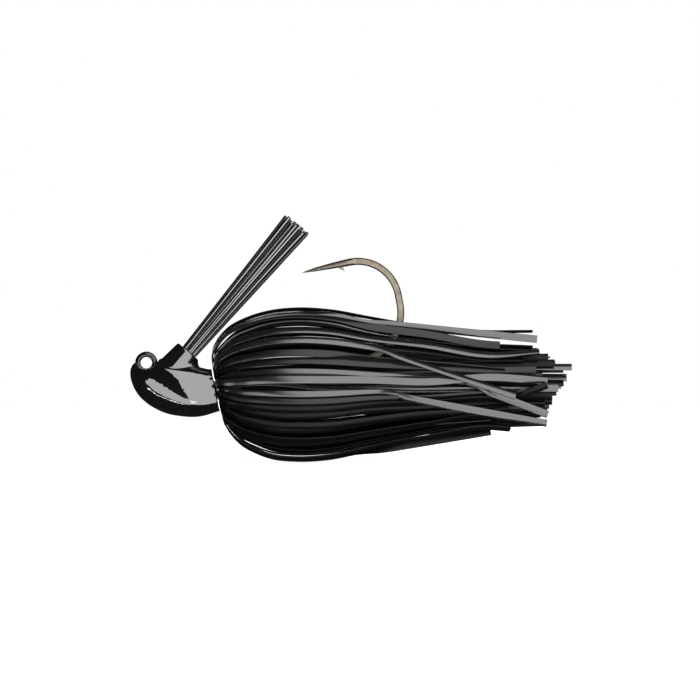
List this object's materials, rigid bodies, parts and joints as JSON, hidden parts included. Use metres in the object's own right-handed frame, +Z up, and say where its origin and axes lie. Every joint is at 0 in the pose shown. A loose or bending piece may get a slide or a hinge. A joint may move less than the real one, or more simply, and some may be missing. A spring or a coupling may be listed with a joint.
{
  "type": "skirted jig head",
  "caption": "Weighted fishing jig: bean-shaped head cast round an upturned hook, with a stiff fibre weed guard and a folded silicone strand skirt on a collar.",
  "frame": {"origin": "centre of the line-tie eye's hole", "axes": "+X from the nose to the tail, level; +Y along the line-tie hole, away from the side the picture shows; +Z up, towards the hook point's side"},
  "size_m": [0.0969, 0.0273, 0.0542],
  "materials": {
    "head_paint": "gloss",
    "hook_steel": "polished",
    "guard_nylon": "gloss",
    "collar_rubber": "matte",
    "skirt_silicone": "satin"
  },
  "bodies": {
    "lure": {"guard_butt": "guard_nylon", "head": "head_paint", "hook": "hook_steel", "skirt_collar": "collar_rubber", "skirt_strand_01": "skirt_silicone", "skirt_strand_02": "skirt_silicone", "skirt_strand_03": "skirt_silicone", "skirt_strand_04": "skirt_silicone", "skirt_strand_05": "skirt_silicone", "skirt_strand_06": "skirt_silicone", "skirt_strand_07": "skirt_silicone", "skirt_strand_08": "skirt_silicone", "skirt_strand_09": "skirt_silicone", "skirt_strand_10": "skirt_silicone", "skirt_strand_11": "skirt_silicone", "skirt_strand_12": "skirt_silicone", "skirt_strand_13": "skirt_silicone", "skirt_strand_14": "skirt_silicone", "skirt_strand_15": "skirt_silicone", "skirt_strand_16": "skirt_silicone", "skirt_strand_17": "skirt_silicone", "skirt_strand_18": "skirt_silicone", "skirt_strand_19": "skirt_silicone", "skirt_strand_20": "skirt_silicone", "skirt_strand_21": "skirt_silicone", "skirt_strand_22": "skirt_silicone", "skirt_strand_23": "skirt_silicone", "skirt_strand_24": "skirt_silicone", "skirt_strand_25": "skirt_silicone", "skirt_strand_26": "skirt_silicone", "skirt_strand_27": "skirt_silicone", "skirt_strand_28": "skirt_silicone", "skirt_strand_29": "skirt_silicone", "skirt_strand_30": "skirt_silicone", "skirt_strand_31": "skirt_silicone", "skirt_strand_32": "skirt_silicone", "skirt_strand_33": "skirt_silicone", "skirt_strand_34": "skirt_silicone", "skirt_strand_35": "skirt_silicone", "skirt_strand_36": "skirt_silicone", "skirt_strand_37": "skirt_silicone", "skirt_strand_38": "skirt_silicone", "skirt_strand_39": "skirt_silicone", "skirt_strand_40": "skirt_silicone", "skirt_strand_41": "skirt_silicone", "skirt_strand_42": "skirt_silicone", "skirt_strand_43": "skirt_silicone", "skirt_strand_44": "skirt_silicone", "skirt_strand_45": "skirt_silicone", "skirt_strand_46": "skirt_silicone", "skirt_strand_47": "skirt_silicone", "skirt_strand_48": "skirt_silicone"},
    "guard": {"guard_fibres_left_inner": "guard_nylon", "guard_fibres_left_middle": "guard_nylon", "guard_fibres_left_outer": "guard_nylon", "guard_fibres_right_inner": "guard_nylon", "guard_fibres_right_middle": "guard_nylon", "guard_fibres_right_outer": "guard_nylon"}
  },
  "joints": [
    {"name": "guard_flex", "type": "hinge", "parent": "lure", "child": "guard", "pos_m": [0.01032, 0, 0.00343], "axis": [0, 1, 0], "range_deg": [-10, 25], "stiffness_Nm_per_rad": 0.04}
  ]
}
